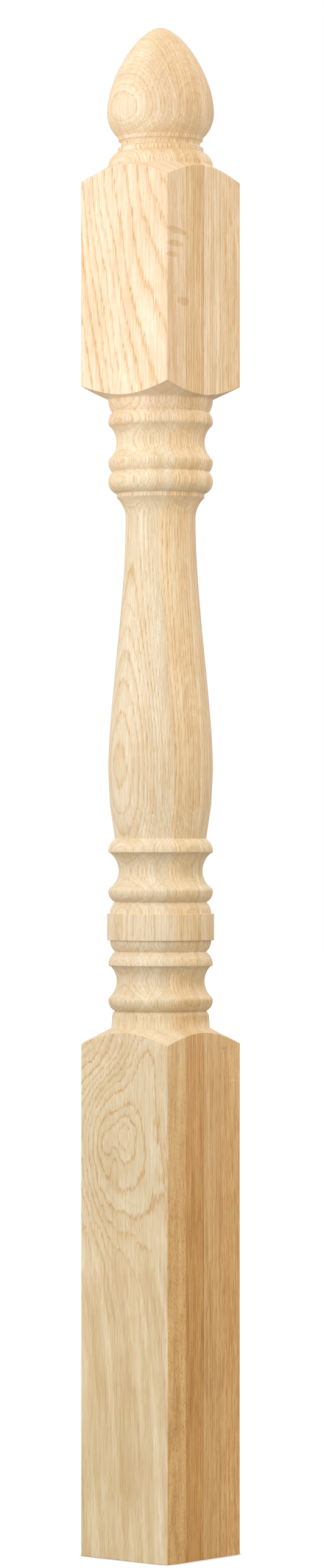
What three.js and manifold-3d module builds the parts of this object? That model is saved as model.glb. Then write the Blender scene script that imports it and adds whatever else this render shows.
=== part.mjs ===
// A turned oak newel post with an acorn finial, in millimetres, +Z up.
//
// The post is one piece of wood. A square blank turns in the lathe, so its shape is the
// meridian below swept round the axis, kept inside the square of the blank: where the
// meridian is wider than the blank, the four flat sides of a block are left.
// The origin is the centre of the underside.

import * as THREE from 'three';
import { mergeVertices } from 'three/addons/utils/BufferGeometryUtils.js';
import Module from 'manifold-3d';

// The blank
const stockSide = 88.9;
const arrisRadius = 0.8;

// The square blocks, measured along their corners
const lowerBlockHeight = 402;
const upperBlockHeight = 160;

// The cones that lead from a block's corners to the turning
const lowerShoulderRise = 12.4;
const upperBlockUndersideRise = 10.4;
const topShoulderRise = 12.1;

// Members that repeat along the turning
const beadRadius = 41;
const grooveRadius = 36.5;
const shallowGrooveRadius = 38.5;
const deepBeadRise = 8.4;
const shallowBeadRise = 7.75;
const lipRadius = 39.7;
const lipRise = 3.1;
const halfBeadRise = 11.1;
const ovoloRadius = 39.8;
const ovoloRise = 9.1;

// Collar above the lower block
const collarRadius = 38.8;
const collarTopRadius = 38.1;
const collarHeight = 9;
const collarRoundRise = 4.2;

// Cove below the band
const lowerCoveRadius = 34.6;
const lowerCoveEntryRise = 12.2;
const lowerCoveExitRise = 11.8;

// Band between two ovolos
const bandRadius = 42;
const bandHeight = 20.8;
const bandArris = 0.5;

// Cove above the band
const middleCoveRadius = 32.9;
const middleCoveEntryRise = 12.9;
const middleCoveExitRise = 14.3;

// Vase: it swells from its foot to the belly and draws in to the neck
const vaseFootRadius = 35.8;
const vaseBellyRadius = 41.05;
const vaseFootRise = 53.5;
const vaseDrawRise = 198.2;
const vaseBellyHandle = 50;
const vaseNeckHandle = 65;
const neckRadius = 27.4;

// Flare and fillet under the large bead
const flareRise = 16.2;
const flareFilletRadius = 34.4;
const flareFilletHeight = 3.1;
const largeBeadRise = 9.3;

// Cove and collar below the upper block
const upperCoveRadius = 34.55;
const upperCoveEntryRise = 12.7;
const upperCoveExitRise = 12.3;
const upperCollarRise = 10.35;

// Foot of the finial
const finialBaseRadius = 41.2;
const finialBaseEdgeRadius = 34.2;
const finialBaseRise = 11.7;
const finialFilletRadius = 33.9;
const finialFilletHeight = 2.7;
const finialCoveRadius = 30.8;
const finialCoveEdgeRadius = 33;
const finialCoveHalfRise = 3;
const acornSeatHeight = 2.8;

// Acorn
const acornRadius = 41.9;
const acornCupRise = 19.2;
const acornDomeRise = 67.4;
const acornBellyHandle = 30;
const acornTipHandle = 16;

// Fineness of the faceted surface
const turnSegments = 40;
const bendPerFacet = THREE.MathUtils.degToRad(20);
const fewestArcFacets = 2;
const vaseFacets = 10;
const acornFacets = 11;

// Room that a cutting shape has beyond what it cuts
const cutOvershoot = 5;

const cornerRadius = (stockSide / 2) * Math.SQRT2;

// The meridian grows upwards from the centre of the underside.
// Each point holds a radius in x and a height in y.
const meridian = [new THREE.Vector2(0, 0)];

function stepTo(radius) {
  meridian.push(new THREE.Vector2(radius, meridian.at(-1).y));
}

function lineTo(radius, rise) {
  meridian.push(new THREE.Vector2(radius, meridian.at(-1).y + rise));
}

// Share of the way across and along an arc at an angle from where it runs upright.
function arcShares(angle, sweep) {
  const across = (1 - Math.cos(angle)) / (1 - Math.cos(sweep));
  const along = Math.sin(angle) / Math.sin(sweep);
  return { across, along };
}

// A round arc to a new radius. It runs parallel to the axis at one end, 'start' or 'end',
// which is the belly of a bead or the throat of a cove.
function arcTo(radius, rise, uprightEnd) {
  const start = meridian.at(-1);
  const change = radius - start.x;
  if (change === 0) {
    lineTo(radius, rise);
    return;
  }
  const curveRadius = (change ** 2 + rise ** 2) / (2 * Math.abs(change));
  const sweep = Math.asin(Math.min(1, rise / curveRadius));
  const facets = Math.max(fewestArcFacets, Math.ceil(sweep / bendPerFacet));
  for (let k = 1; k <= facets; k += 1) {
    if (uprightEnd === 'start') {
      const { across, along } = arcShares((sweep * k) / facets, sweep);
      meridian.push(new THREE.Vector2(start.x + change * across, start.y + rise * along));
    } else {
      const { across, along } = arcShares(sweep * (1 - k / facets), sweep);
      meridian.push(new THREE.Vector2(radius - change * across, start.y + rise * (1 - along)));
    }
  }
}

// A free curve to a new radius: it leaves and arrives in the given directions.
function curveTo(radius, rise, leave, arrive, facets) {
  const start = meridian.at(-1);
  const end = new THREE.Vector2(radius, start.y + rise);
  const curve = new THREE.CubicBezierCurve(start, start.clone().add(leave), end.clone().sub(arrive), end);
  meridian.push(...curve.getPoints(facets).slice(1));
}

// A bead from the groove under it to the lip above it.
function beadWithLip(riseToBelly) {
  arcTo(beadRadius, riseToBelly, 'end');
  arcTo(lipRadius, lipRise, 'start');
}

// A hollow from one lip through its throat to the next lip.
function cove(throatRadius, entryRise, exitRise) {
  arcTo(throatRadius, entryRise, 'end');
  arcTo(lipRadius, exitRise, 'start');
}

// The upper half of a bead, standing out from the lip below it.
function halfBead(endRadius) {
  stepTo(beadRadius);
  arcTo(endRadius, halfBeadRise, 'start');
}

// Along a block the meridian passes outside the corners of the blank. The shoulder cones
// meet those corners at the block's full height.
function block(height, undersideRise, topRise, topRadius) {
  const corner = meridian.at(-1).y + undersideRise;
  const undersideSlope = undersideRise / (cornerRadius - meridian.at(-1).x);
  const topSlope = topRise / (cornerRadius - topRadius);
  const outside = cornerRadius + cutOvershoot;
  meridian.push(new THREE.Vector2(outside, corner + cutOvershoot * undersideSlope));
  meridian.push(new THREE.Vector2(outside, corner + height - cutOvershoot * topSlope));
  meridian.push(new THREE.Vector2(topRadius, corner + height + topRise));
}

function turnLowerBlock() {
  block(lowerBlockHeight, 0, lowerShoulderRise, collarRadius);
}

function turnBase() {
  lineTo(collarTopRadius, collarHeight);
  arcTo(grooveRadius, collarRoundRise, 'start');
  beadWithLip(deepBeadRise);
  cove(lowerCoveRadius, lowerCoveEntryRise, lowerCoveExitRise);
  halfBead(grooveRadius);
}

function turnBand() {
  arcTo(ovoloRadius, ovoloRise, 'end');
  stepTo(bandRadius - bandArris);
  lineTo(bandRadius, bandArris);
  lineTo(bandRadius, bandHeight - 2 * bandArris);
  lineTo(bandRadius - bandArris, bandArris);
  stepTo(ovoloRadius);
  arcTo(grooveRadius, ovoloRise, 'start');
  beadWithLip(deepBeadRise);
  cove(middleCoveRadius, middleCoveEntryRise, middleCoveExitRise);
  halfBead(vaseFootRadius);
}

function turnVase() {
  arcTo(vaseBellyRadius, vaseFootRise, 'end');
  const leave = new THREE.Vector2(0, vaseBellyHandle);
  const arrive = new THREE.Vector2(0, vaseNeckHandle);
  curveTo(neckRadius, vaseDrawRise, leave, arrive, vaseFacets);
  arcTo(flareFilletRadius, flareRise, 'start');
}

function turnCapital() {
  lineTo(flareFilletRadius, flareFilletHeight);
  arcTo(beadRadius, largeBeadRise, 'end');
  arcTo(shallowGrooveRadius, shallowBeadRise, 'start');
  beadWithLip(shallowBeadRise);
  cove(upperCoveRadius, upperCoveEntryRise, upperCoveExitRise);
  arcTo(beadRadius, lipRise, 'end');
  arcTo(shallowGrooveRadius, shallowBeadRise, 'start');
  arcTo(beadRadius, upperCollarRise, 'end');
}

function turnUpperBlock() {
  block(upperBlockHeight, upperBlockUndersideRise, topShoulderRise, finialBaseRadius);
}

function turnFinial() {
  arcTo(finialBaseEdgeRadius, finialBaseRise, 'start');
  stepTo(finialFilletRadius);
  lineTo(finialFilletRadius, finialFilletHeight);
  stepTo(finialCoveEdgeRadius);
  arcTo(finialCoveRadius, finialCoveHalfRise, 'end');
  arcTo(finialCoveEdgeRadius, finialCoveHalfRise, 'start');
  lineTo(finialCoveEdgeRadius, acornSeatHeight);
  arcTo(acornRadius, acornCupRise, 'end');
  const leave = new THREE.Vector2(0, acornBellyHandle);
  const arrive = new THREE.Vector2(-acornTipHandle, 0);
  curveTo(0, acornDomeRise, leave, arrive, acornFacets);
}

// The square blank with eased corners, a little longer than the post at both ends.
function blankGeometry(height) {
  const half = stockSide / 2;
  const centre = half - arrisRadius;
  const section = new THREE.Shape();
  section.moveTo(half, -centre);
  for (const quarter of [0, 1, 2, 3]) {
    const turn = (quarter * Math.PI) / 2;
    const middle = new THREE.Vector2(centre, centre).rotateAround(new THREE.Vector2(), turn);
    section.absarc(middle.x, middle.y, arrisRadius, turn, turn + Math.PI / 2, false);
  }
  const depth = height + 2 * cutOvershoot;
  const blank = new THREE.ExtrudeGeometry(section, { depth, curveSegments: 1, bevelEnabled: false });
  return blank.translate(0, 0, -cutOvershoot);
}

const wasm = await Module();
wasm.setup();

// The closed solid of a geometry, with its shared corners merged.
function solidOf(geometry) {
  const bare = geometry.clone();
  bare.deleteAttribute('normal');
  bare.deleteAttribute('uv');
  const merged = mergeVertices(bare);
  const corners = merged.index.array;
  const kept = [];
  for (let k = 0; k < corners.length; k += 3) {
    const [a, b, c] = corners.slice(k, k + 3);
    if (a !== b && b !== c && c !== a) {
      kept.push(a, b, c);
    }
  }
  const vertProperties = new Float32Array(merged.getAttribute('position').array);
  const triVerts = new Uint32Array(kept);
  return new wasm.Manifold(new wasm.Mesh({ numProp: 3, vertProperties, triVerts }));
}

function geometryOf(solid) {
  const { vertProperties, triVerts } = solid.getMesh();
  const geometry = new THREE.BufferGeometry();
  geometry.setAttribute('position', new THREE.BufferAttribute(vertProperties, 3));
  geometry.setIndex(new THREE.BufferAttribute(triVerts, 1));
  geometry.computeVertexNormals();
  return geometry;
}

function turnPost() {
  turnLowerBlock();
  turnBase();
  turnBand();
  turnVase();
  turnCapital();
  turnUpperBlock();
  turnFinial();
  const turning = new THREE.LatheGeometry(meridian, turnSegments).rotateX(Math.PI / 2);
  const blank = blankGeometry(meridian.at(-1).y);
  return geometryOf(solidOf(turning).intersect(solidOf(blank)));
}

const oak = new THREE.MeshStandardMaterial({
  color: 0xdcc39a,
  roughness: 0.7,
  metalness: 0,
  flatShading: true,
});

const newelPost = new THREE.Mesh(turnPost(), oak);
newelPost.name = 'newel_post';

const model = new THREE.Group();
model.add(newelPost);

export default model;
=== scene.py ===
# A turned oak newel post with an acorn finial, in a plain white studio.
#
# The post is modelled again as one fine mesh. The workshop sizes below are in millimetres
# and give the outline of the turning, and the sides of the square blank cut it to blocks.
# The oak is a solid pattern, so the grain runs through the post as in real wood: four
# boards glued face to face, each with growth rings about the pith of its own tree.

import math
from collections import namedtuple

import bpy
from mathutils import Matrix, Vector


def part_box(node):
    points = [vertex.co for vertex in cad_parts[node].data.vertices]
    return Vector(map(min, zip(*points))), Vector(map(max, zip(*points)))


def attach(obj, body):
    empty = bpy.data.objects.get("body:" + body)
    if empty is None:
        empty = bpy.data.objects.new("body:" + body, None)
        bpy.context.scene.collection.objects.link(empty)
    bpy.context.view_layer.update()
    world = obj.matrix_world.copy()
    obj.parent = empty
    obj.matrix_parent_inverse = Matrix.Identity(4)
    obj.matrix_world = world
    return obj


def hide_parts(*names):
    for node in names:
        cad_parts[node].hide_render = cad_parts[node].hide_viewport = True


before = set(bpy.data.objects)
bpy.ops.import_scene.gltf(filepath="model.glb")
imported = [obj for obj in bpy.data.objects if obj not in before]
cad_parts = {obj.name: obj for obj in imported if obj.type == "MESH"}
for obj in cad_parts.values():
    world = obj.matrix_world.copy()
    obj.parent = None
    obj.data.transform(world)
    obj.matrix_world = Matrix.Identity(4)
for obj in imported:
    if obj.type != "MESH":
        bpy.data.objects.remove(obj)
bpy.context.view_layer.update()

MM = 0.001

# The blank and the whole height come from the frame. The mesh lies a skin inside the solid.
low_corner, high_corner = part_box("newel_post")
STOCK_SIDE = (high_corner[0] - low_corner[0]) / MM
POST_HEIGHT = (high_corner[2] - low_corner[2]) / MM
SKIN = 0.0002
HALF_SIDE = STOCK_SIDE / 2 - SKIN
CORNER_RADIUS = HALF_SIDE * math.sqrt(2)

# Edges: the long corners of the blank, and the small easing of every other edge. A row of
# the mesh a guard's width from the edge keeps the shading of the flat beside it even.
ARRIS_RADIUS = 0.8
EDGE_EASE = 0.3
GROOVE_EASE = 0.1
LARGEST_EASE_SHARE = 0.3
GUARD = 2 * EDGE_EASE
ROOM_FOR_GUARD = 6 * EDGE_EASE

# Square blocks, measured along their corners, and their shoulder cones
LOWER_BLOCK_HEIGHT = 402
LOWER_SHOULDER_RISE = 12.4
UPPER_BLOCK_HEIGHT = 160
UPPER_UNDERSIDE_RISE = 10.4
TOP_SHOULDER_RISE = 12.1

# Members that repeat along the turning
BEAD_RADIUS = 41.1
GROOVE_RADIUS = 36.0
SHALLOW_GROOVE_RADIUS = 38.1
DEEP_BEAD_RISE = 8.4
SHALLOW_BEAD_RISE = 7.75
LIP_RADIUS = 39.7
LIP_RISE = 3.1
HALF_BEAD_RISE = 11.1
HALF_BEAD_TUCK = 0.6
HALF_BEAD_TUCK_RISE = 1.1
OVOLO_RADIUS = 39.8
OVOLO_RISE = 9.1

# Collar, coves and band
COLLAR_RADIUS = 38.8
COLLAR_TOP_RADIUS = 38.1
COLLAR_HEIGHT = 9
COLLAR_ROUND_RISE = 4.2
LOWER_COVE = (34.6, 12.2, 11.8)
MIDDLE_COVE = (32.9, 12.9, 14.3)
UPPER_COVE = (34.55, 12.7, 12.3)
BAND_RADIUS = 42
BAND_HEIGHT = 20.8

# Vase and the members above it
VASE_FOOT_RADIUS = 35.8
VASE_BELLY_RADIUS = 41.1
VASE_FOOT_RISE = 53.5
VASE_DRAW_RISE = 198.2
VASE_BELLY_HANDLE = 50
VASE_NECK_HANDLE = 65
NECK_RADIUS = 27.4
FLARE_RISE = 16.2
FLARE_FILLET_RADIUS = 34.4
FLARE_FILLET_HEIGHT = 3.1
LARGE_BEAD_RISE = 9.3
UPPER_COLLAR_RISE = 10.35

# Finial
FINIAL_BASE_RADIUS = 41.2
FINIAL_BASE_EDGE_RADIUS = 34.2
FINIAL_BASE_RISE = 11.2
FINIAL_FILLET_RADIUS = 34.0
FINIAL_FILLET_TOP_RADIUS = 33.4
FINIAL_FILLET_HEIGHT = 3.7
FINIAL_COVE_RADIUS = 30.8
FINIAL_COVE_EDGE_RADIUS = 33
FINIAL_COVE_TOP_RADIUS = 32.9
FINIAL_COVE_LOWER_RISE = 2.8
FINIAL_COVE_UPPER_RISE = 2.9
ACORN_SEAT_RADIUS = 33.5
ACORN_SEAT_HEIGHT = 2.9
ACORN_RADIUS = 41.9
ACORN_CUP_RISE = 18.9
ACORN_BELLY_HANDLE = 30
ACORN_TIP_HANDLE = 16

# Fineness of the mesh
SIDE_COLUMNS = 38
ARRIS_STEPS = 4
BEND_PER_ROW = math.radians(6)
VASE_ROWS = 60
ACORN_ROWS = 44
CONE_ROWS = 6
FACE_ROW_SPACING = 12
FEWEST_FACE_ROWS = 4
SHARP_TURN = math.radians(22)

# The wood, in millimetres. Each board has the pith of its own tree, a seed for its patterns,
# the spacing of its rings, the colours of its late and early wood, and its tints in the upper
# block (head), in the lower block (foot) and on the lower block's sides (low). The foot and low
# tints, darker towards the bottom, are partly the wood's deeper colour and partly painted shade
# where the light falls off downwards.
BOARD_COUNT = 4

Board = namedtuple("Board", "pith seed spacing late early head foot low")
BOARDS = (
    Board(
        pith=(190, 860),
        seed=0.0,
        spacing=1.75,
        late=(0.845, 0.76, 0.625),
        early=(0.74, 0.53, 0.305),
        head=(1.015, 0.98, 0.965),
        foot=(0.97, 0.945, 0.84),
        low=(0.954, 0.805, 0.572),
    ),
    Board(
        pith=(150, 760),
        seed=1300.0,
        spacing=2.7,
        late=(0.84, 0.73, 0.545),
        early=(0.70, 0.46, 0.22),
        head=(0.955, 0.90, 0.83),
        foot=(0.87, 0.74, 0.575),
        low=(0.92, 0.80, 0.54),
    ),
    Board(
        pith=(260, 700),
        seed=2900.0,
        spacing=2.9,
        late=(0.87, 0.77, 0.615),
        early=(0.72, 0.50, 0.28),
        head=(1.0, 1.0, 1.0),
        foot=(0.925, 0.85, 0.735),
        low=(0.905, 0.795, 0.573),
    ),
    Board(
        pith=(-60, -500),
        seed=4700.0,
        spacing=2.4,
        late=(0.885, 0.77, 0.61),
        early=(0.74, 0.50, 0.27),
        head=(1.0, 1.0, 1.0),
        foot=(0.945, 0.875, 0.735),
        low=(0.928, 0.84, 0.627),
    ),
)

# Patterns of the wood. A cell gives a pattern's size in millimetres: along the rings, across
# them and up the post. Its noise fades in from minus its reach to plus its reach, and there
# multiplies the colour by its tint.
Grain = namedtuple("Grain", "name cell detail roughness reach tint")
GRAINS = (
    Grain("fibre", (0.7, 0.7, 15), 1.0, 0.6, 0.6, (0.94, 0.89, 0.83)),
    Grain("hair", (0.8, 30, 70), 1.0, 0.5, 0.6, (0.95, 0.905, 0.85)),
    Grain("streak", (2.4, 1.3, 60), 2.0, 0.6, 0.7, (0.955, 0.92, 0.86)),
    Grain("ring group", (40, 4, 260), 2.0, 0.6, 0.7, (0.94, 0.90, 0.83)),
    Grain("cloud", (30, 6, 50), 1.0, 0.5, 0.7, (0.95, 0.92, 0.87)),
)
PORE_CELL = (0.5, 0.5, 5)
PORE_FADE = (0.2, 0.8)
PORES_IN_RINGS = 0.8
PORES_BETWEEN = 0.25
PORE_DEPTH = 0.5
PORE_TINT = (0.66, 0.50, 0.36)
RAY_CELL = (0.7, 22, 14)
RAY_FADE = (0.3, 0.8)
RAY_DEPTH = 0.3
RAY_TINT = (0.84, 0.74, 0.60)

# Waves that push the rings outwards, in millimetres
SLOW_CELL = (45, 45, 170)
SLOW_PUSH = 1.1
WAVY_CELL = (9, 9, 20)
WAVY_PUSH = 0.12
WAVY_PUSH_ADDED_BELOW = 0.3
WAVY_BELOW = (600, 400)
JAGGED_CELL = (0.9, 0.9, 13)
JAGGED_PUSH = 0.24
JAGGED_LOST_IN_CALM = 0.7

# Ring lines, in shares of the ring: the dark line runs over the ring's start and leaves a tail
LINE_BEGINS = (0.88, 1.0)
LINE_ENDS = (0.16, 0.04)
TAIL_ENDS = (0.6, 0.0)
LINE_STRENGTH = 0.85
TAIL_STRENGTH = 0.38
DASH_CELL = (1.3, 1.3, 9)
DASH_FADE = (-0.5, 0.5)
DASH_STRENGTH = 0.85
LEAST_DASH = 0.25
SPACING_CELL = 7.0
SPACING_CHANGE = 0.5
RING_STEP = 0.83
RING_PLANE = 7.0
RING_WEIGHT = 0.72
RING_WEIGHT_CHANGE = 0.5
RINGS_LOST_IN_CALM = 0.85

# How strongly the rings show, and how much fainter they are in places
RINGS_SHOWN = 1.2
FAINTER_ON_END_GRAIN = 0.95
FAINTER_ON_ACORN = 0.25
FAINTER_ON_TURNING = 0.14
FAINTER_ON_BASE = 0.2
FAINTER_ON_BASE_RIGHT = 0.25
STRONGER_ON_FILLETS = 0.6

# Lean of the front board's rings: over the upper block, beside the figure and in the acorn
HEAD_LEAN = -7.4
HEAD_TILT = 0.03
HEAD_BEND = 0.0005
LOW_TILT = 0.11
ACORN_LEAN = 0.4
ACORN_BOW = 0.004
ACORN_BOW_MIDDLE = -16

# Hills in the rings of the front board: the figure in the face of the lower block
Hill = namedtuple("Hill", "x z spread_x spread_z rise")
HILLS = (
    Hill(-13, 322, 38, 60, -11),
    Hill(-20, 327, 9, 15, -2.5),
    Hill(3, 334, 10, 15, -2.5),
    Hill(-9, 308, 5, 15, 3),
    Hill(22, 384, 12, 26, -3),
    Hill(-40, 415, 40, 40, 8),
)

# Soft stripes and threads low on the front, where the figure dies out. They drift sideways
# with height, more so above the bend.
STRIPE_CELL = (11, 40, 190)
STRIPE_FADE = (-0.4, 0.5)
STRIPE_TINT = (0.86, 0.80, 0.69)
STRIPES_AT_LEFT = 0.65
STRIPES_ADDED_AT_RIGHT = 0.35
STRIPES_RIGHTWARD = (-30, 20)
THREAD_CELL = (2.2, 40, 60)
THREAD_FADE = (-0.1, 0.8)
THREAD_TINT = (0.945, 0.905, 0.835)
CALM_TINT = (1.045, 1.045, 1.05)
DRIFT = 0.07
DRIFT_BEND = 0.0011
DRIFT_BEND_HEIGHT = 130

# Narrow fillets of the turning, where the ring lines are cut crisp
FILLETS = ((830.9, 834.0), (1101.8, 1105.5), (1111.2, 1114.1))
FILLET_FADE = 0.4

# Figure on the sides of the blocks. The noise of each kind fades in from start to full, and
# shows on each board by its share. The first kinds are on both blocks, the others on the lower.
Figure = namedtuple("Figure", "name cell detail start full shares tint")
ALL_BOARDS = (1.0, 1.0, 1.0, 1.0)
SIDE_FIGURES = (
    Figure("vein", (8, 1.1, 45), 1.0, 0.1, 0.8, (0.2, 0.8, 0.15, 0.5), (0.84, 0.72, 0.56)),
    Figure("spot", (8, 2.4, 12), 1.0, 0.25, 0.7, (0.0, 0.0, 0.0, 0.8), (0.92, 0.84, 0.72)),
)
LOW_FIGURES = (
    Figure("stain", (12, 5.5, 50), 2.0, 0.0, 0.9, ALL_BOARDS, (0.86, 0.80, 0.69)),
    Figure("mottle", (9, 2.6, 11), 2.0, -0.2, 0.9, ALL_BOARDS, (0.945, 0.91, 0.85)),
    Figure("dapple", (8, 0.8, 8), 1.0, -0.5, 0.6, ALL_BOARDS, (0.945, 0.91, 0.85)),
    Figure("streak", (8, 1.3, 45), 1.0, 0.15, 0.9, (0.1, 0.2, 0.2, 0.6), (0.84, 0.72, 0.58)),
)
SIDE_FADE = (0.85, 1.0)

# Short slanting nicks on the side of the front board
NICK_CELL = (9, 1.0, 3.6)
NICK_SLANT = (0.85, 0.5)
NICK_FADE = (0.1, 0.8)
NICK_TINT = (0.84, 0.72, 0.56)

# Ray flecks on the right side of the upper block
Fleck = namedtuple("Fleck", "y z half_width half_height droop")
FLECKS = (
    Fleck(-32.5, 1036.5, 12, 2.9, 1.4),
    Fleck(-35, 1025.5, 10, 2.6, 0.5),
    Fleck(-38.5, 1016.5, 6.5, 2.2, 0.2),
    Fleck(-25.3, 981, 7.6, 3.6, 0.0),
)
FLECK_WOBBLE_CELL = (5, 5, 3)
FLECK_WOBBLE = 0.3
FLECK_RIM = (1.2, 0.6)
FLECK_TINT = (0.89, 0.82, 0.71)
RIGHT_SIDE = (42.5, 43.5)

# Two short marks left by a cutter near the top of the lower block's right side
Mark = namedtuple("Mark", "y z half_width shade")
MARKS = (Mark(24.6, 398.8, 2.9, 0.72), Mark(35.3, 373.4, 4.0, 1.16))
MARK_HALF_HEIGHT = 0.45
MARK_RIM = (1.4, 0.6)

# Fades by height on the post: none of a look at the first height, all of it at the second
TURNING_BEGINS = (410, 425)
TURNING_ENDS = (905, 880)
BASE_ENDS = (620, 540)
VASE_BEGINS = (560, 760)
VASE_ENDS = (835, 815)
UPPER_BLOCK_BEGINS = (880, 905)
UPPER_BLOCK_ENDS = (1115, 1092)
UPPER_BLOCK_SPAN = (905, 1092)
TOP_CONE_HEIGHT = (1000, 1050)
TOP_BEGINS = (1086, 1098)
ACORN_LEAN_BEGINS = (1100, 1125)
ACORN_FAINT_BEGINS = (1100, 1120)
# Painted shade on the upper acorn begins here
ACORN_SHADE_BEGINS = (1122, 1136)
CALM_BEGINS = (275, 200)
LOW_LEAN_BEGINS = (480, 400)
# The foot and low-side fades place the board tints that darken the lower block, partly painted shade.
FOOT_BEGINS = (480, 380)
LOW_SIDE_BEGINS = (600, 200)
FACE_TOP_BEGINS = (250, 300)
FACE_TOP_ENDS = (425, 400)
FACE_FOOT_BEGINS = (130, 50)

# Fades across the post, and by the way that the surface faces
FACE_FOOT_LEFTWARD = (15, -15)
# Painted shade on the acorn grows towards its right-hand side
ACORN_SHADE_RIGHTWARD = (6, 24)
RIGHTWARD = (0.906, 0.423)
TURNS_RIGHT = (0.5, 0.95)
TURNS_SIDEWAYS = (0.55, 1.0)
FARTHEST_RIGHT = (0.91, 0.98)
FACES_FRONT = (1.0, 0.85)
FACES_DOWN = (-0.05, -0.7)
FACES_UP = (0.75, 0.88)

# Tints of those places. The turned-away, farthest-right, underside, base-right and acorn tints
# are painted shade, darker where the surface is turned from the light.
# Painted shade on surfaces turned sideways and to the right, away from the key light.
TURNED_AWAY_SHADE_TINT = (1.0, 0.94, 0.85)
# Painted shade at the right edge of the turning, turned farthest from the light.
FARTHEST_RIGHT_SHADE_TINT = (0.93, 0.91, 0.885)
# Painted shade on undersides: a little darker and yellower, as the shadows under the members look.
UNDERSIDE_SHADE_TINT = (0.995, 0.965, 0.91)
TOP_CONE_TINT = (1.0, 0.98, 0.91)
TURNED_FRONT_TINT = (0.955, 0.965, 0.955)
TURNED_TINT = (0.995, 0.985, 0.965)
# Painted shade on the right-hand side of the base's turning, turned away from the light.
BASE_RIGHT_SHADE_TINT = (0.92, 0.945, 0.93)
VASE_FRONT_TINT = (0.95, 0.965, 0.98)
# Painted shade on the right half of the upper acorn, darker and warmer away from the light.
ACORN_SHADE_TINT = (0.94, 0.895, 0.865)
FACE_TOP_TINT = (0.957, 0.957, 0.955)
FACE_FOOT_TINT = (0.925, 0.92, 0.86)

# Surface: rougher in the rings, a little glossier on the rays, and open pores
ROUGHNESS = 0.66
RAY_GLOSS = 0.12
RING_ROUGHNESS = 0.06
FIBRE_RELIEF = 0.25
RING_RELIEF = 0.3
RELIEF = 0.00008

# Camera: fitted to the perspective of the two blocks in the photograph
CAMERA_AZIMUTH = math.radians(40.25)
CAMERA_DISTANCE = 4.235
EYE_HEIGHT = 0.5534
IMAGE_WIDTH = 532
IMAGE_HEIGHT = 2576
FOCAL_PIXELS = 8850
AXIS_PIXEL = 263.7
EYE_PIXEL = 1398
SENSOR_SIZE = 36
CAMERA_REACH = 100

# Studio: a white surround that gives a little more light from the front and from above, a soft
# panel on each side at half the post's height, and two narrower ones that throw light up onto
# the finial and the upper block. Angles are in degrees and lengths in metres.
FLOOR_REACH = 20
FLOOR_GREY = 0.3
FLOOR_GLOW = 1.0
# The floor's glow fades near the post by these: a painted contact shadow.
CONTACT_REACH = 0.012
CONTACT_SHADOW_DEPTH = 0.6
CONTACT_SAMPLES = 8
BACKDROP_LIGHT = 1.0
WORLD_LIGHT = 1.17
WORLD_FRONT_LIGHT = 0.378
WORLD_TOP_LIGHT = 0.15
WORLD_FRONT = 40
Panel = namedtuple("Panel", "name azimuth elevation distance size spread power target")
PANELS = (
    Panel("left", azimuth=-25, elevation=0, distance=1.4,
          size=0.8, spread=180, power=2.7, target=0.5),
    Panel("right", azimuth=105, elevation=0, distance=1.4,
          size=0.8, spread=180, power=0.9, target=0.5),
    Panel("left_lift", azimuth=-20, elevation=-20, distance=1.2,
          size=0.6, spread=70, power=1.0, target=1.1),
    Panel("right_lift", azimuth=80, elevation=-20, distance=1.2,
          size=0.6, spread=70, power=0.34, target=1.1),
)


class Outline:
    """Radius and height of the turning, from its lower end up, in millimetres."""

    def __init__(self, radius, height):
        self.points = [(radius, height)]

    def step(self, radius):
        self.points.append((radius, self.points[-1][1]))

    def line(self, radius, rise):
        self.points.append((radius, self.points[-1][1] + rise))

    def arc(self, radius, rise, upright):
        """A round arc that runs parallel to the axis at its 'start' or its 'end'."""
        start_radius, start_height = self.points[-1]
        change = radius - start_radius
        curve_radius = (change ** 2 + rise ** 2) / (2 * abs(change))
        sweep = math.asin(min(1, rise / curve_radius))
        rows = math.ceil(sweep / BEND_PER_ROW)
        for row in range(1, rows + 1):
            share = row / rows if upright == "start" else 1 - row / rows
            across = (1 - math.cos(sweep * share)) / (1 - math.cos(sweep))
            along = math.sin(sweep * share) / math.sin(sweep)
            if upright == "end":
                across = 1 - across
                along = 1 - along
            self.points.append((start_radius + change * across, start_height + rise * along))

    def curve(self, radius, rise, leave, arrive, rows):
        """A free curve that leaves and arrives along the given directions."""
        start = Vector(self.points[-1])
        end = Vector((radius, start.y + rise))
        handles = (start, start + Vector(leave), end - Vector(arrive), end)
        for row in range(1, rows + 1):
            share = row / rows
            weights = (
                (1 - share) ** 3,
                3 * share * (1 - share) ** 2,
                3 * share ** 2 * (1 - share),
                share ** 3,
            )
            parts = (weight * handle for weight, handle in zip(weights, handles))
            self.points.append(tuple(sum(parts, Vector((0, 0)))))

    def bead_with_lip(self, rise_to_belly):
        self.arc(BEAD_RADIUS, rise_to_belly, "end")
        self.arc(LIP_RADIUS, LIP_RISE, "start")

    def cove(self, throat_radius, entry_rise, exit_rise):
        self.arc(throat_radius, entry_rise, "end")
        self.arc(LIP_RADIUS, exit_rise, "start")

    def half_bead(self, end_radius):
        self.step(BEAD_RADIUS - HALF_BEAD_TUCK)
        self.arc(BEAD_RADIUS, HALF_BEAD_TUCK_RISE, "end")
        self.arc(end_radius, HALF_BEAD_RISE - HALF_BEAD_TUCK_RISE, "start")

    def height(self):
        return self.points[-1][1]


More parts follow.
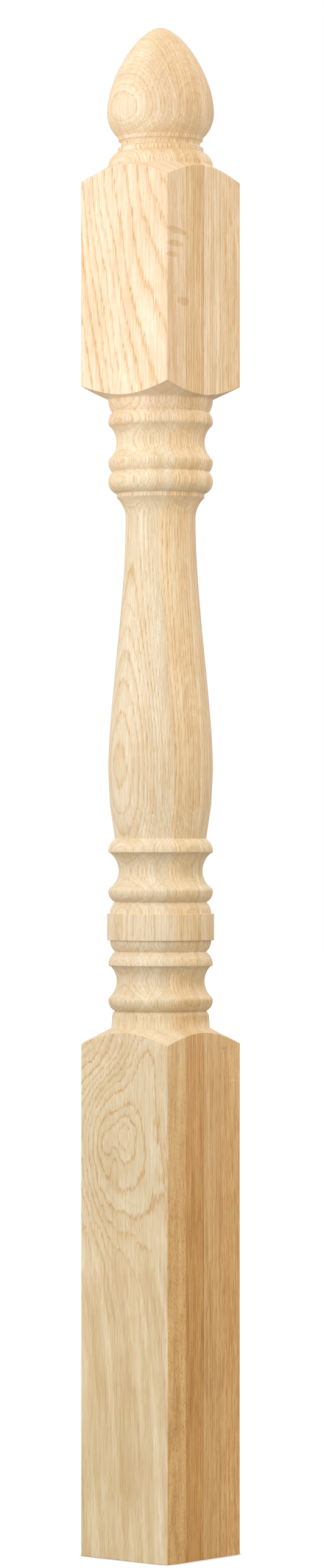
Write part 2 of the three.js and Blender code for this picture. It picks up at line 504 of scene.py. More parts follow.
def eased(points):
    """The outline with each sharp turn rounded off, as sanding leaves it."""
    result = [points[0]]
    for before, corner, after in zip(points, points[1:], points[2:]):
        corner = Vector(corner)
        back = Vector(before) - corner
        ahead = Vector(after) - corner
        turn = math.pi - back.angle(ahead)
        if turn < SHARP_TURN:
            result.append(tuple(corner))
            continue
        hollow = back.x * ahead.y - back.y * ahead.x > 0
        room = LARGEST_EASE_SHARE * min(back.length, ahead.length)
        ease = min(GROOVE_EASE if hollow else EDGE_EASE, room)
        near_back = corner + back.normalized() * ease
        near_ahead = corner + ahead.normalized() * ease
        for share in (0, 1 / 3, 2 / 3, 1):
            first = near_back.lerp(corner, share)
            second = corner.lerp(near_ahead, share)
            result.append(tuple(first.lerp(second, share)))
        if ahead.length > ROOM_FOR_GUARD:
            result.append(tuple(corner + ahead.normalized() * GUARD))
    result.append(points[-1])
    return result


def shank_outline(collar_height):
    """From the lower block's shoulder to the upper block's underside."""
    shank = Outline(COLLAR_RADIUS, collar_height)
    shank.line(COLLAR_TOP_RADIUS, COLLAR_HEIGHT)
    shank.arc(GROOVE_RADIUS, COLLAR_ROUND_RISE, "start")
    shank.bead_with_lip(DEEP_BEAD_RISE)
    shank.cove(*LOWER_COVE)
    shank.half_bead(GROOVE_RADIUS)
    shank.arc(OVOLO_RADIUS, OVOLO_RISE, "end")
    shank.step(BAND_RADIUS)
    shank.line(BAND_RADIUS, BAND_HEIGHT)
    shank.step(OVOLO_RADIUS)
    shank.arc(GROOVE_RADIUS, OVOLO_RISE, "start")
    shank.bead_with_lip(DEEP_BEAD_RISE)
    shank.cove(*MIDDLE_COVE)
    shank.half_bead(VASE_FOOT_RADIUS)
    shank.arc(VASE_BELLY_RADIUS, VASE_FOOT_RISE, "end")
    leave = (0, VASE_BELLY_HANDLE)
    arrive = (0, VASE_NECK_HANDLE)
    shank.curve(NECK_RADIUS, VASE_DRAW_RISE, leave, arrive, VASE_ROWS)
    shank.arc(FLARE_FILLET_RADIUS, FLARE_RISE, "start")
    shank.line(FLARE_FILLET_RADIUS, FLARE_FILLET_HEIGHT)
    shank.arc(BEAD_RADIUS, LARGE_BEAD_RISE, "end")
    shank.arc(SHALLOW_GROOVE_RADIUS, SHALLOW_BEAD_RISE, "start")
    shank.bead_with_lip(SHALLOW_BEAD_RISE)
    shank.cove(*UPPER_COVE)
    shank.arc(BEAD_RADIUS, LIP_RISE, "end")
    shank.arc(SHALLOW_GROOVE_RADIUS, SHALLOW_BEAD_RISE, "start")
    shank.arc(BEAD_RADIUS, UPPER_COLLAR_RISE, "end")
    return shank


def finial_outline(base_height):
    """From the top shoulder to the tip of the acorn."""
    finial = Outline(FINIAL_BASE_RADIUS, base_height)
    finial.arc(FINIAL_BASE_EDGE_RADIUS, FINIAL_BASE_RISE, "start")
    finial.step(FINIAL_FILLET_RADIUS)
    finial.line(FINIAL_FILLET_TOP_RADIUS, FINIAL_FILLET_HEIGHT)
    finial.step(FINIAL_COVE_EDGE_RADIUS)
    finial.arc(FINIAL_COVE_RADIUS, FINIAL_COVE_LOWER_RISE, "end")
    finial.arc(FINIAL_COVE_TOP_RADIUS, FINIAL_COVE_UPPER_RISE, "start")
    finial.line(ACORN_SEAT_RADIUS, ACORN_SEAT_HEIGHT)
    finial.arc(ACORN_RADIUS, ACORN_CUP_RISE, "end")
    dome_rise = POST_HEIGHT - finial.height()
    finial.curve(0, dome_rise, (0, ACORN_BELLY_HANDLE), (-ACORN_TIP_HANDLE, 0), ACORN_ROWS)
    return finial


def blank_columns():
    """Direction of each mesh column, and how far the blank's side lies from the axis there."""
    inner = HALF_SIDE - ARRIS_RADIUS
    guard = ARRIS_RADIUS / 2
    along_side = [-inner]
    for step in range(SIDE_COLUMNS + 1):
        along_side.append((2 * step / SIDE_COLUMNS - 1) * (inner - guard))
    along_side.append(inner)
    quarter = [Vector((HALF_SIDE, across)) for across in along_side]
    for step in range(1, ARRIS_STEPS):
        turn = math.pi / 2 * step / ARRIS_STEPS
        across = inner + ARRIS_RADIUS * math.cos(turn)
        upward = inner + ARRIS_RADIUS * math.sin(turn)
        quarter.append(Vector((across, upward)))
    columns = []
    for side in range(4):
        for point in quarter:
            angle = math.atan2(point.y, point.x) + side * math.pi / 2
            columns.append((angle, point.length))
    return columns


COLUMNS = blank_columns()


class Cone:
    """A shoulder cone that meets the blank's corners at a given height."""

    def __init__(self, corner_height, neck_radius, neck_height):
        self.corner_height = corner_height
        self.neck_radius = neck_radius
        self.slope = (corner_height - neck_height) / (CORNER_RADIUS - neck_radius)

    def height(self, radius):
        return self.corner_height - (CORNER_RADIUS - radius) * self.slope

    def rows(self):
        """Rows from the neck out to just before the side of the blank."""
        result = []
        for step in range(CONE_ROWS):
            share = step / CONE_ROWS
            row = []
            for _, reach in COLUMNS:
                radius = self.neck_radius + (reach - GUARD - self.neck_radius) * share
                row.append((radius, self.height(radius)))
            result.append(row)
        return result

    def edge_rows(self, way):
        """Rows round the eased edge onto the side; the side runs up (1) or down (-1)."""
        result = []
        for share in (None, 0, 1 / 3, 2 / 3, 1):
            row = []
            for _, reach in COLUMNS:
                if share is None:
                    radius = reach - GUARD
                    row.append((radius, self.height(radius)))
                    continue
                corner = Vector((reach, self.height(reach)))
                inside = Vector((reach - EDGE_EASE, self.height(reach - EDGE_EASE)))
                beyond = corner + Vector((0, way * EDGE_EASE))
                point = inside.lerp(corner, share).lerp(corner.lerp(beyond, share), share)
                row.append(tuple(point))
            result.append(row)
        return result


def side_rows(lower, upper):
    """Rows up the flat sides of a block, between its two cones."""
    height = upper.corner_height - lower.corner_height
    count = max(FEWEST_FACE_ROWS, round(height / FACE_ROW_SPACING))
    result = []
    for step in range(count + 1):
        row = []
        for _, reach in COLUMNS:
            bottom = lower.height(reach) + GUARD
            top = upper.height(reach) - GUARD
            row.append((reach, bottom + (top - bottom) * step / count))
        result.append(row)
    return result


def block_rows(lower, upper):
    rows = lower.rows() + lower.edge_rows(1) + side_rows(lower, upper)
    rows += reversed(upper.edge_rows(-1))
    rows += reversed(upper.rows())
    return rows


def round_rows(outline):
    return [[point] * len(COLUMNS) for point in eased(outline.points)]


def post_rows():
    """Every row of the mesh, from the middle of the underside to the tip."""
    foot = Cone(0, 0, 0)
    collar_height = LOWER_BLOCK_HEIGHT + LOWER_SHOULDER_RISE
    lower_shoulder = Cone(LOWER_BLOCK_HEIGHT, COLLAR_RADIUS, collar_height)
    shank = shank_outline(collar_height)
    underside_corner = shank.height() + UPPER_UNDERSIDE_RISE
    underside = Cone(underside_corner, BEAD_RADIUS, shank.height())
    top_corner = underside_corner + UPPER_BLOCK_HEIGHT
    finial_height = top_corner + TOP_SHOULDER_RISE
    top_shoulder = Cone(top_corner, FINIAL_BASE_RADIUS, finial_height)
    rows = block_rows(foot, lower_shoulder)
    rows += round_rows(shank)[1:-1]
    rows += block_rows(underside, top_shoulder)
    rows += round_rows(finial_outline(finial_height))[1:]
    return rows


def make_post():
    """The post as one closed mesh of quads, with a fan of triangles at each end."""
    rows = post_rows()
    count = len(COLUMNS)
    vertices = [(0, 0, rows[0][0][1] * MM)]
    for row in rows[1:-1]:
        for (angle, _), (radius, height) in zip(COLUMNS, row):
            x = radius * math.cos(angle)
            y = radius * math.sin(angle)
            vertices.append((x * MM, y * MM, height * MM))
    vertices.append((0, 0, rows[-1][0][1] * MM))
    tip = len(vertices) - 1
    faces = []
    for column in range(count):
        beside = (column + 1) % count
        faces.append((0, 1 + beside, 1 + column))
        for row in range(len(rows) - 3):
            below = 1 + row * count
            above = below + count
            faces.append((below + column, below + beside, above + beside, above + column))
        last = tip - count
        faces.append((last + column, last + beside, tip))
    mesh = bpy.data.meshes.new("newel_post_turned")
    mesh.from_pydata(vertices, [], faces)
    mesh.validate()
    mesh.shade_smooth()
    post = bpy.data.objects.new("newel_post_turned", mesh)
    bpy.context.scene.collection.objects.link(post)
    return post


class Graph:
    """Adds shader nodes to a material or a world. Values may be numbers, tuples or sockets."""

    def __init__(self, material):
        self.tree = material.node_tree

    def add(self, kind, values, **settings):
        node = self.tree.nodes.new(kind)
        for name, setting in settings.items():
            setattr(node, name, setting)
        for socket, value in values.items():
            self.put(node.inputs[socket], value)
        return node

    def put(self, socket, value):
        if isinstance(value, bpy.types.NodeSocket):
            self.tree.links.new(value, socket)
        elif socket.type == "RGBA":
            socket.default_value = (*value[:3], 1)
        else:
            socket.default_value = value

    def math(self, operation, *values):
        return self.add("ShaderNodeMath", dict(enumerate(values)), operation=operation).outputs[0]

    def product(self, *factors):
        result = factors[0]
        for factor in factors[1:]:
            result = self.math("MULTIPLY", result, factor)
        return result

    def less(self, amount, loss):
        """1 where the amount is 0, and less by the loss where it is 1."""
        return self.math("MULTIPLY_ADD", amount, -loss, 1.0)

    def offset(self, value, middle, reach):
        """How far a value lies from a middle, counted in reaches."""
        return self.math("DIVIDE", self.math("SUBTRACT", value, middle), reach)

    def squares(self, first, second):
        """The sum of the two squares."""
        return self.math("MULTIPLY_ADD", first, first, self.math("MULTIPLY", second, second))

    def vector(self, operation, *values):
        return self.add("ShaderNodeVectorMath", dict(enumerate(values)), operation=operation).outputs[0]

    def combine(self, x, y, z):
        return self.add("ShaderNodeCombineXYZ", {0: x, 1: y, 2: z}).outputs[0]

    def separate(self, vector):
        return self.add("ShaderNodeSeparateXYZ", {0: vector}).outputs

    def scaled(self, vector, x, y, z):
        """The vector counted in cells of the given size."""
        return self.vector("DIVIDE", vector, (x, y, z))

    def noise(self, vector, detail=2.0, roughness=0.5):
        """Smooth noise, about -1 to 1."""
        values = {"Vector": vector, "Scale": 1.0, "Detail": detail, "Roughness": roughness}
        node = self.add("ShaderNodeTexNoise", values)
        return self.math("MULTIPLY_ADD", node.outputs[0], 4.0, -2.0)

    def fade(self, value, start, end):
        """0 up to start, 1 from end on, and smooth between."""
        values = {"Value": value, "From Min": start, "From Max": end}
        return self.add("ShaderNodeMapRange", values, interpolation_type="SMOOTHSTEP").outputs[0]

    def between(self, value, begins, ends):
        """The product of two fades: 1 between them and 0 beyond."""
        return self.math("MULTIPLY", self.fade(value, *begins), self.fade(value, *ends))

    def ramp(self, value, start, end):
        """0 up to start, 1 from end on, and straight between."""
        values = {"Value": value, "From Min": start, "From Max": end}
        return self.add("ShaderNodeMapRange", values).outputs[0]

    def mix(self, kind, factor, first, second, blend="MIX"):
        names = {"FLOAT": (2, 3), "VECTOR": (4, 5), "RGBA": (6, 7)}
        outputs = {"FLOAT": 0, "VECTOR": 1, "RGBA": 2}
        values = {0: factor, names[kind][0]: first, names[kind][1]: second}
        node = self.add("ShaderNodeMix", values, data_type=kind, blend_type=blend)
        return node.outputs[outputs[kind]]

    def colour(self, factor, first, second):
        return self.mix("RGBA", factor, first, second)

    def tint(self, factor, colour, by):
        return self.mix("RGBA", factor, colour, by, blend="MULTIPLY")


def per_board(graph, kind, across, values):
    """The value of the board that a point lies in."""
    result = values[0]
    for board in range(1, BOARD_COUNT):
        glue_line = -HALF_SIDE + board * STOCK_SIDE / BOARD_COUNT
        beyond = graph.math("GREATER_THAN", across, glue_line)
        result = graph.mix(kind, beyond, result, values[board])
    return result


Wood = namedtuple("Wood", "place x y z seed reach spacing late early head foot low front calm")


def wood_values(graph, coordinates):
    """The place inside the post in millimetres, and the values of the board there."""
    place = graph.vector("SCALE", coordinates.outputs["Object"])
    place.node.inputs["Scale"].default_value = 1 / MM
    x, y, z = graph.separate(place)
    seed = per_board(graph, "FLOAT", y, [board.seed for board in BOARDS])
    reach = per_board(graph, "FLOAT", y, [math.hypot(*board.pith) for board in BOARDS])
    spacing = per_board(graph, "FLOAT", y, [board.spacing for board in BOARDS])
    late = per_board(graph, "RGBA", y, [board.late for board in BOARDS])
    early = per_board(graph, "RGBA", y, [board.early for board in BOARDS])
    head = per_board(graph, "RGBA", y, [board.head for board in BOARDS])
    foot = per_board(graph, "RGBA", y, [board.foot for board in BOARDS])
    low = per_board(graph, "RGBA", y, [board.low for board in BOARDS])
    front = graph.math("LESS_THAN", y, -STOCK_SIDE / BOARD_COUNT)
    calm = graph.product(front, graph.fade(z, *CALM_BEGINS))
    return Wood(place, x, y, z, seed, reach, spacing, late, early, head, foot, low, front, calm)


Facing = namedtuple("Facing", "side right up turned base base_right")


def facing_values(graph, wood, coordinates):
    """Which way the surface faces, and how far it belongs to the turning and to its base."""
    normal_x, normal_y, normal_z = graph.separate(coordinates.outputs["Normal"])
    side = graph.math("ABSOLUTE", normal_x)
    along_x, along_y = RIGHTWARD
    right = graph.math("MULTIPLY_ADD", normal_x, along_x, graph.product(normal_y, along_y))
    turned = graph.between(wood.z, TURNING_BEGINS, TURNING_ENDS)
    base = graph.product(turned, graph.fade(wood.z, *BASE_ENDS))
    base_right = graph.product(base, graph.fade(right, *TURNS_RIGHT))
    return Facing(side, right, normal_z, turned, base, base_right)


def in_upper_block(graph, wood):
    return graph.between(wood.z, UPPER_BLOCK_BEGINS, UPPER_BLOCK_ENDS)


def hill(graph, wood, shape):
    """A smooth hill in the rings, seen on the front of the post."""
    across = graph.offset(wood.x, shape.x, shape.spread_x)
    upward = graph.offset(wood.z, shape.z, shape.spread_z)
    bell = graph.math("EXPONENT", graph.product(graph.squares(across, upward), -1.0))
    return graph.product(bell, shape.rise)


def front_board_lean(graph, wood):
    """How the rings of the front board lean along the upper block and round the figure."""
    upward = graph.ramp(wood.z, *UPPER_BLOCK_SPAN)
    bend = graph.math("MULTIPLY_ADD", wood.x, HEAD_BEND, HEAD_TILT)
    low = graph.product(graph.fade(wood.z, *LOW_LEAN_BEGINS), LOW_TILT)
    sideways = graph.math("MULTIPLY_ADD", bend, in_upper_block(graph, wood), low)
    lean = graph.math("MULTIPLY_ADD", wood.x, sideways, graph.product(upward, HEAD_LEAN))
    aside = graph.math("SUBTRACT", wood.x, ACORN_BOW_MIDDLE)
    rounding = graph.math("MULTIPLY_ADD", graph.product(aside, aside), ACORN_BOW, ACORN_LEAN)
    in_acorn = graph.fade(wood.z, *ACORN_LEAN_BEGINS)
    lean = graph.math("MULTIPLY_ADD", in_acorn, rounding, lean)
    for shape in HILLS:
        lean = graph.math("ADD", lean, hill(graph, wood, shape))
    return graph.product(lean, wood.front)


def ring_depth(graph, wood, distance):
    """Distance from the pith, with the waves and the lean that bend the rings."""
    shifted = graph.vector("ADD", wood.place, graph.combine(wood.seed, 0.0, wood.seed))
    slow = graph.noise(graph.scaled(shifted, *SLOW_CELL), detail=1.0)
    wavy = graph.noise(graph.scaled(shifted, *WAVY_CELL), detail=1.0)
    below = graph.fade(wood.z, *WAVY_BELOW)
    wavy_push = graph.math("MULTIPLY_ADD", below, WAVY_PUSH_ADDED_BELOW, WAVY_PUSH)
    jagged = graph.noise(graph.scaled(shifted, *JAGGED_CELL), detail=1.0)
    jagged = graph.product(jagged, graph.less(wood.calm, JAGGED_LOST_IN_CALM))
    depth = graph.math("ADD", distance, front_board_lean(graph, wood))
    depth = graph.math("MULTIPLY_ADD", slow, SLOW_PUSH, depth)
    depth = graph.math("MULTIPLY_ADD", wavy, wavy_push, depth)
    return graph.math("MULTIPLY_ADD", jagged, JAGGED_PUSH, depth)


def wood_tissue(graph, wood):
    """Place measured along the rings, across the rings and up the grain."""
    pith = per_board(graph, "VECTOR", wood.y, [(*board.pith, 0) for board in BOARDS])
    out_x, out_y, _ = graph.separate(graph.vector("SUBTRACT", wood.place, pith))
    distance = graph.math("SQRT", graph.squares(out_x, out_y))
    angle = graph.math("ARCTAN2", out_x, graph.math("ABSOLUTE", out_y))
    along = graph.product(angle, wood.reach)
    depth = ring_depth(graph, wood, distance)
    return graph.combine(along, depth, graph.math("ADD", wood.z, wood.seed))


def ring_band(graph, wood, tissue):
    """How far a place lies in the spring wood of its ring: 1 on the ring line, then fading."""
    depth = graph.separate(tissue)[1]
    cell = graph.math("DIVIDE", depth, SPACING_CELL)
    change = graph.noise(graph.combine(cell, wood.seed, 0.0), detail=0.0)
    count = graph.math("DIVIDE", depth, wood.spacing)
    count = graph.math("MULTIPLY_ADD", change, SPACING_CHANGE, count)
    ring = graph.math("FRACT", count)
    begins = graph.fade(ring, *LINE_BEGINS)
    line = graph.math("MAXIMUM", begins, graph.fade(ring, *LINE_ENDS))
    tail = graph.math("MAXIMUM", begins, graph.fade(ring, *TAIL_ENDS))
    dash = graph.fade(graph.noise(graph.scaled(tissue, *DASH_CELL), detail=1.0), *DASH_FADE)
    line = graph.product(line, graph.math("MULTIPLY_ADD", dash, DASH_STRENGTH, LEAST_DASH))
    tail = graph.product(tail, TAIL_STRENGTH)
    band = graph.math("MULTIPLY_ADD", line, LINE_STRENGTH, tail)
    number = graph.product(graph.math("FLOOR", count), RING_STEP)
    weight = graph.noise(graph.combine(number, wood.seed, RING_PLANE), detail=0.0)
    weight = graph.math("MULTIPLY_ADD", weight, RING_WEIGHT_CHANGE, RING_WEIGHT)
    return graph.product(band, weight, graph.less(wood.calm, RINGS_LOST_IN_CALM))


def on_fillets(graph, wood):
    total = 0.0
    for low, high in FILLETS:
        inside = graph.between(wood.z, (low, low + FILLET_FADE), (high, high - FILLET_FADE))
        total = graph.math("ADD", inside, total)
    return total


def rings_shown(graph, wood, facing, band):
    """The ring lines as they show: fainter on end grain, on the acorn and on the turning."""
    end_grain = graph.math("ABSOLUTE", facing.up)
    strength = graph.math("MULTIPLY_ADD", end_grain, -FAINTER_ON_END_GRAIN, RINGS_SHOWN)
    in_acorn = graph.fade(wood.z, *ACORN_FAINT_BEGINS)
    faint = graph.product(facing.turned, FAINTER_ON_TURNING)
    faint = graph.math("MULTIPLY_ADD", facing.base, FAINTER_ON_BASE, faint)
    faint = graph.math("MULTIPLY_ADD", facing.base_right, FAINTER_ON_BASE_RIGHT, faint)
    crisp = graph.math("MULTIPLY_ADD", on_fillets(graph, wood), STRONGER_ON_FILLETS, 1.0)
    shown = graph.product(band, strength, graph.less(in_acorn, FAINTER_ON_ACORN))
    return graph.product(shown, graph.math("SUBTRACT", 1.0, faint), crisp)


def flecks(graph, wood):
    """Tongues of ray tissue that lie in the right side of the upper block."""
    wobble = graph.noise(graph.scaled(wood.place, *FLECK_WOBBLE_CELL), detail=1.0)
    total = 0.0
    for fleck in FLECKS:
        across = graph.offset(wood.y, fleck.y, fleck.half_width)
        past_tip = graph.math("ADD", across, 1.0)
        drooping = graph.math("MULTIPLY_ADD", past_tip, fleck.droop, wood.z)
        upward = graph.offset(drooping, fleck.z, fleck.half_height)
        square = graph.squares(across, upward)
        square = graph.math("MULTIPLY_ADD", wobble, FLECK_WOBBLE, square)
        total = graph.math("MAXIMUM", graph.fade(square, *FLECK_RIM), total)
    return graph.product(total, graph.fade(wood.x, *RIGHT_SIDE))


def marks(graph, wood, colour):
    """A short dark line and a short pale one."""
    for mark in MARKS:
        across = graph.offset(wood.y, mark.y, mark.half_width)
        upward = graph.offset(wood.z, mark.z, MARK_HALF_HEIGHT)
        inside = graph.fade(graph.squares(across, upward), *MARK_RIM)
        amount = graph.product(inside, graph.fade(wood.x, *RIGHT_SIDE))
        colour = graph.tint(amount, colour, (mark.shade,) * 3)
    return colour


def grain(graph, tissue, colour):
    """The fine patterns of the tissue. Also gives the fibres, for the relief."""
    noises = {}
    for kind in GRAINS:
        cells = graph.scaled(tissue, *kind.cell)
        noises[kind.name] = graph.noise(cells, detail=kind.detail, roughness=kind.roughness)
        amount = graph.fade(noises[kind.name], -kind.reach, kind.reach)
        colour = graph.tint(amount, colour, kind.tint)
    return colour, noises["fibre"]


def place_tints(graph, wood, facing, colour):
    """Slow changes of colour along the post, and painted shade by the way that the surface faces:
    darker on surfaces turned away from the light, at the far right edge and underneath.
    """
    top_side = graph.product(facing.side, graph.fade(wood.z, *TOP_BEGINS))
    sideways = graph.fade(facing.side, *TURNS_SIDEWAYS)
    away = graph.math("MAXIMUM", sideways, graph.fade(facing.right, *TURNS_RIGHT))
    away = graph.math("MAXIMUM", away, top_side)
    facing_up = graph.fade(facing.up, *FACES_UP)
    top_cone = graph.product(facing_up, graph.fade(wood.z, *TOP_CONE_HEIGHT))
    vase = graph.between(wood.z, VASE_BEGINS, VASE_ENDS)
    acorn = graph.fade(wood.z, *ACORN_SHADE_BEGINS)
    acorn_shade = graph.product(graph.fade(wood.x, *ACORN_SHADE_RIGHTWARD), acorn)
    for amount, by in (
        # painted shade where the surface turns away from the light
        (away, TURNED_AWAY_SHADE_TINT),
        # painted shade at the far right edge
        (graph.fade(facing.right, *FARTHEST_RIGHT), FARTHEST_RIGHT_SHADE_TINT),
        # painted shade on undersides
        (graph.fade(facing.up, *FACES_DOWN), UNDERSIDE_SHADE_TINT),
        (top_cone, TOP_CONE_TINT),
        (graph.product(facing.turned, wood.front), TURNED_FRONT_TINT),
        (facing.turned, TURNED_TINT),
        # painted shade on the right of the base
        (facing.base_right, BASE_RIGHT_SHADE_TINT),
        (graph.product(vase, wood.front), VASE_FRONT_TINT),
        # painted shade on the right half of the upper acorn
        (acorn_shade, ACORN_SHADE_TINT),
        (in_upper_block(graph, wood), wood.head),
        # Board foot tint: partly the wood's deeper colour, partly painted shade darker towards the
        # bottom.
        (graph.fade(wood.z, *FOOT_BEGINS), wood.foot),
    ):
        colour = graph.tint(amount, colour, by)
    return colour


def calm_figure(graph, wood, colour):
    """Broad soft stripes low on the front of the post, where the figure dies out."""
    colour = graph.tint(wood.calm, colour, CALM_TINT)
    above = graph.math("SUBTRACT", wood.z, DRIFT_BEND_HEIGHT)
    above = graph.math("MAXIMUM", above, 0.0)
    drift = graph.math("MULTIPLY_ADD", wood.z, DRIFT, wood.x)
    drift = graph.math("MULTIPLY_ADD", graph.product(above, above), DRIFT_BEND, drift)
    drifted = graph.combine(drift, wood.y, wood.z)
    stripe = graph.noise(graph.scaled(drifted, *STRIPE_CELL), detail=2.0)
    rightward = graph.fade(wood.x, *STRIPES_RIGHTWARD)
    strength = graph.math("MULTIPLY_ADD", rightward, STRIPES_ADDED_AT_RIGHT, STRIPES_AT_LEFT)
    amount = graph.product(graph.fade(stripe, *STRIPE_FADE), wood.calm, strength)
    colour = graph.tint(amount, colour, STRIPE_TINT)
    thread = graph.noise(graph.scaled(drifted, *THREAD_CELL), detail=2.0)
    amount = graph.product(graph.fade(thread, *THREAD_FADE), wood.calm)
    return graph.tint(amount, colour, THREAD_TINT)


def face_tints(graph, wood, facing, colour):
    """The front face of the lower block, deeper near its top and at its lower left."""
    face = graph.product(wood.front, graph.fade(facing.side, *FACES_FRONT))
    top = graph.product(graph.between(wood.z, FACE_TOP_BEGINS, FACE_TOP_ENDS), face)
    colour = graph.tint(top, colour, FACE_TOP_TINT)
    leftward = graph.fade(wood.x, *FACE_FOOT_LEFTWARD)
    foot = graph.product(graph.fade(wood.z, *FACE_FOOT_BEGINS), leftward, wood.calm)
    return graph.tint(foot, colour, FACE_FOOT_TINT)


def figures(graph, wood, kinds, where, colour):
    """Deepens the colour by each kind of figure, in the places given."""
    for kind in kinds:
        noise = graph.noise(graph.scaled(wood.place, *kind.cell), detail=kind.detail)
        share = per_board(graph, "FLOAT", wood.y, kind.shares)
        amount = graph.product(graph.fade(noise, kind.start, kind.full), share, where)
        colour = graph.tint(amount, colour, kind.tint)
    return colour


def nicks(graph, wood, low, colour):
    """Short slanting nicks on the side of the front board."""
    steep, flat = NICK_SLANT
    across = graph.math("MULTIPLY_ADD", wood.z, flat, graph.product(wood.y, steep))
    along = graph.math("MULTIPLY_ADD", wood.z, -steep, graph.product(wood.y, flat))
    slanting = graph.combine(wood.x, across, along)
    nick = graph.noise(graph.scaled(slanting, *NICK_CELL), detail=1.0)
    amount = graph.product(graph.fade(nick, *NICK_FADE), low, wood.front)
    return graph.tint(amount, colour, NICK_TINT)


def side_figure(graph, wood, facing, colour):
    """Veins and spots on the sides of the blocks, and the deeper colour of the lower one:
    partly the wood's own colour, partly painted shade darker towards the bottom.
    """
    flat = graph.fade(facing.side, *SIDE_FADE)
    colour = figures(graph, wood, SIDE_FIGURES, flat, colour)
    low = graph.product(flat, graph.fade(wood.z, *LOW_SIDE_BEGINS))
    # Board low tint: partly the wood's deeper colour, partly painted shade darker towards the bottom.
    colour = graph.tint(low, colour, wood.low)
    colour = figures(graph, wood, LOW_FIGURES, low, colour)
    return nicks(graph, wood, low, colour)


def oak():
    """Bare sanded oak as a solid pattern."""
    material = bpy.data.materials.new("oak_bare")
    material.use_nodes = True
    graph = Graph(material)
    shader = material.node_tree.nodes["Principled BSDF"]
    coordinates = graph.tree.nodes.new("ShaderNodeTexCoord")
    wood = wood_values(graph, coordinates)
    facing = facing_values(graph, wood, coordinates)
    tissue = wood_tissue(graph, wood)
    band = ring_band(graph, wood, tissue)
    pore = graph.fade(graph.noise(graph.scaled(tissue, *PORE_CELL), detail=1.0), *PORE_FADE)
    pore = graph.product(pore, graph.math("MULTIPLY_ADD", band, PORES_IN_RINGS, PORES_BETWEEN))
    ray = graph.fade(graph.noise(graph.scaled(tissue, *RAY_CELL), detail=1.0), *RAY_FADE)

    colour = graph.colour(rings_shown(graph, wood, facing, band), wood.late, wood.early)
    colour, fibre = grain(graph, tissue, colour)
    colour = graph.tint(graph.product(pore, PORE_DEPTH), colour, PORE_TINT)
    colour = graph.tint(graph.product(ray, RAY_DEPTH), colour, RAY_TINT)
    colour = graph.tint(flecks(graph, wood), colour, FLECK_TINT)
    colour = place_tints(graph, wood, facing, colour)
    colour = calm_figure(graph, wood, colour)
    colour = face_tints(graph, wood, facing, colour)
    colour = side_figure(graph, wood, facing, colour)
    colour = marks(graph, wood, colour)
    graph.put(shader.inputs["Base Color"], colour)

    roughness = graph.math("MULTIPLY_ADD", ray, -RAY_GLOSS, ROUGHNESS)
    roughness = graph.math("MULTIPLY_ADD", band, RING_ROUGHNESS, roughness)
    graph.put(shader.inputs["Roughness"], roughness)
    height = graph.math("MULTIPLY_ADD", pore, -1.0, graph.product(fibre, FIBRE_RELIEF))
    height = graph.math("MULTIPLY_ADD", band, -RING_RELIEF, height)
    relief = {"Height": height, "Strength": 1.0, "Distance": RELIEF}
    graph.put(shader.inputs["Normal"], graph.add("ShaderNodeBump", relief).outputs[0])
    return material


def add_floor():
    """A plain floor that glows white for the camera, and throws back less light to the post.
    Its glow fades by ambient occlusion close to the post: a painted contact shadow.
    """
    material = bpy.data.materials.new("floor_white")
    material.use_nodes = True
    graph = Graph(material)
    shader = material.node_tree.nodes["Principled BSDF"]
    shader.inputs["Roughness"].default_value = 1.0
    shader.inputs["Specular IOR Level"].default_value = 0.0
    seen = graph.add("ShaderNodeLightPath", {}).outputs["Is Camera Ray"]
    graph.put(shader.inputs["Base Color"], (FLOOR_GREY,) * 3)
    graph.put(shader.inputs["Emission Color"], (1.0, 1.0, 1.0))
    # Painted contact shadow: the glow is dimmed where ambient occlusion finds the post close by.
    reach = {"Distance": CONTACT_REACH}
    contact_shadow = graph.add("ShaderNodeAmbientOcclusion", reach, samples=CONTACT_SAMPLES)
    open_air = contact_shadow.outputs["AO"]
    glow = graph.math("MULTIPLY_ADD", open_air, FLOOR_GLOW + CONTACT_SHADOW_DEPTH, -CONTACT_SHADOW_DEPTH)
    glow = graph.math("MAXIMUM", glow, 0.0)
    graph.put(shader.inputs["Emission Strength"], graph.product(seen, glow))
    mesh = bpy.data.meshes.new("floor")
    corners = [(-FLOOR_REACH, -FLOOR_REACH, 0), (FLOOR_REACH, -FLOOR_REACH, 0)]
    corners += [(FLOOR_REACH, FLOOR_REACH, 0), (-FLOOR_REACH, FLOOR_REACH, 0)]
    mesh.from_pydata(corners, [], [(0, 1, 2, 3)])
    mesh.materials.append(material)
    floor = bpy.data.objects.new("floor", mesh)
    bpy.context.scene.collection.objects.link(floor)


def direction_from(azimuth, elevation):
    """Unit vector towards a place seen at an azimuth and elevation, in degrees."""
    turn = math.radians(azimuth)
    rise = math.radians(elevation)
    return Vector((math.sin(turn) * math.cos(rise), -math.cos(turn) * math.cos(rise), math.sin(rise)))


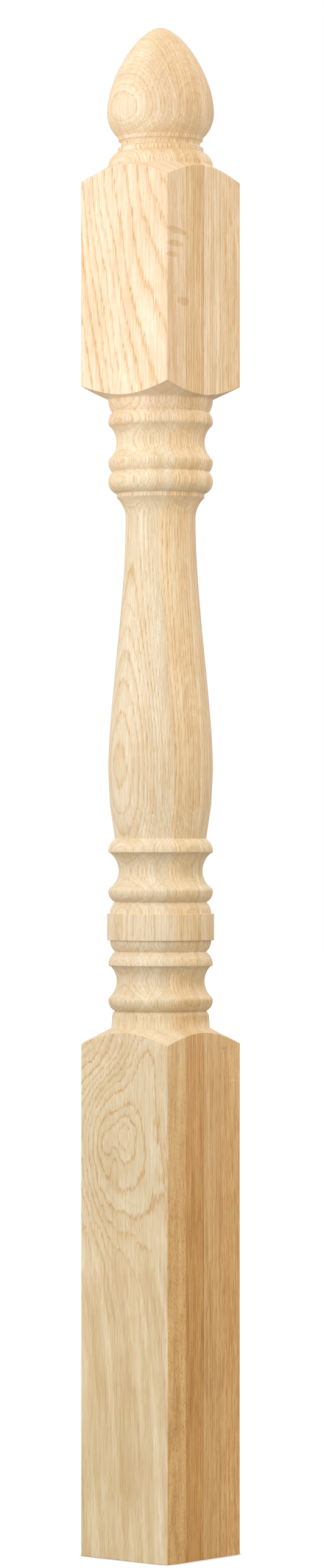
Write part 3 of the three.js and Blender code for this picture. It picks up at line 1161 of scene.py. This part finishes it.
def add_panel(panel):
    """A square soft box that faces a point on the axis of the post."""
    light = bpy.data.lights.new(panel.name, "AREA")
    light.energy = panel.power
    light.size = panel.size
    light.spread = math.radians(panel.spread)
    towards = direction_from(panel.azimuth, panel.elevation)
    holder = bpy.data.objects.new(panel.name, light)
    holder.location = Vector((0, 0, panel.target)) + towards * panel.distance
    holder.rotation_euler = towards.to_track_quat("Z", "Y").to_euler()
    bpy.context.scene.collection.objects.link(holder)


def light_world():
    """White to the eye, and a soft light from all round, stronger from the front and above."""
    world = bpy.data.worlds.new("studio")
    world.use_nodes = True
    graph = Graph(world)
    background = world.node_tree.nodes["Background"]
    background.inputs["Color"].default_value = (1, 1, 1, 1)
    x, y, z = graph.separate(graph.add("ShaderNodeTexCoord", {}).outputs["Generated"])
    front = direction_from(WORLD_FRONT, 0)
    facing = graph.math("MULTIPLY_ADD", x, front.x, graph.math("MULTIPLY", y, front.y))
    light = graph.math("MULTIPLY_ADD", facing, WORLD_FRONT_LIGHT, WORLD_LIGHT)
    light = graph.math("MULTIPLY_ADD", graph.math("MAXIMUM", z, 0.0), WORLD_TOP_LIGHT, light)
    seen = graph.add("ShaderNodeLightPath", {}).outputs["Is Camera Ray"]
    strength = graph.mix("FLOAT", seen, light, BACKDROP_LIGHT)
    graph.put(background.inputs["Strength"], strength)
    bpy.context.scene.world = world


def add_camera():
    """Level, at the photograph's height and angle; the shift only sets its framing."""
    data = bpy.data.cameras.new("camera")
    data.sensor_width = SENSOR_SIZE
    data.lens = SENSOR_SIZE * FOCAL_PIXELS / IMAGE_HEIGHT
    data.shift_x = (IMAGE_WIDTH / 2 - AXIS_PIXEL) / IMAGE_HEIGHT
    data.shift_y = (EYE_PIXEL - IMAGE_HEIGHT / 2) / IMAGE_HEIGHT
    data.clip_end = CAMERA_REACH
    camera = bpy.data.objects.new("camera", data)
    towards = Vector((math.sin(CAMERA_AZIMUTH), -math.cos(CAMERA_AZIMUTH), 0))
    camera.location = towards * CAMERA_DISTANCE + Vector((0, 0, EYE_HEIGHT))
    camera.rotation_euler = (math.pi / 2, 0, CAMERA_AZIMUTH)
    bpy.context.scene.collection.objects.link(camera)
    bpy.context.scene.camera = camera


add_camera()
add_floor()
light_world()
for panel in PANELS:
    add_panel(panel)

post = make_post()
post.data.materials.append(oak())
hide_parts("newel_post")
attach(post, "root")

bpy.context.scene.view_settings.view_transform = "Standard"
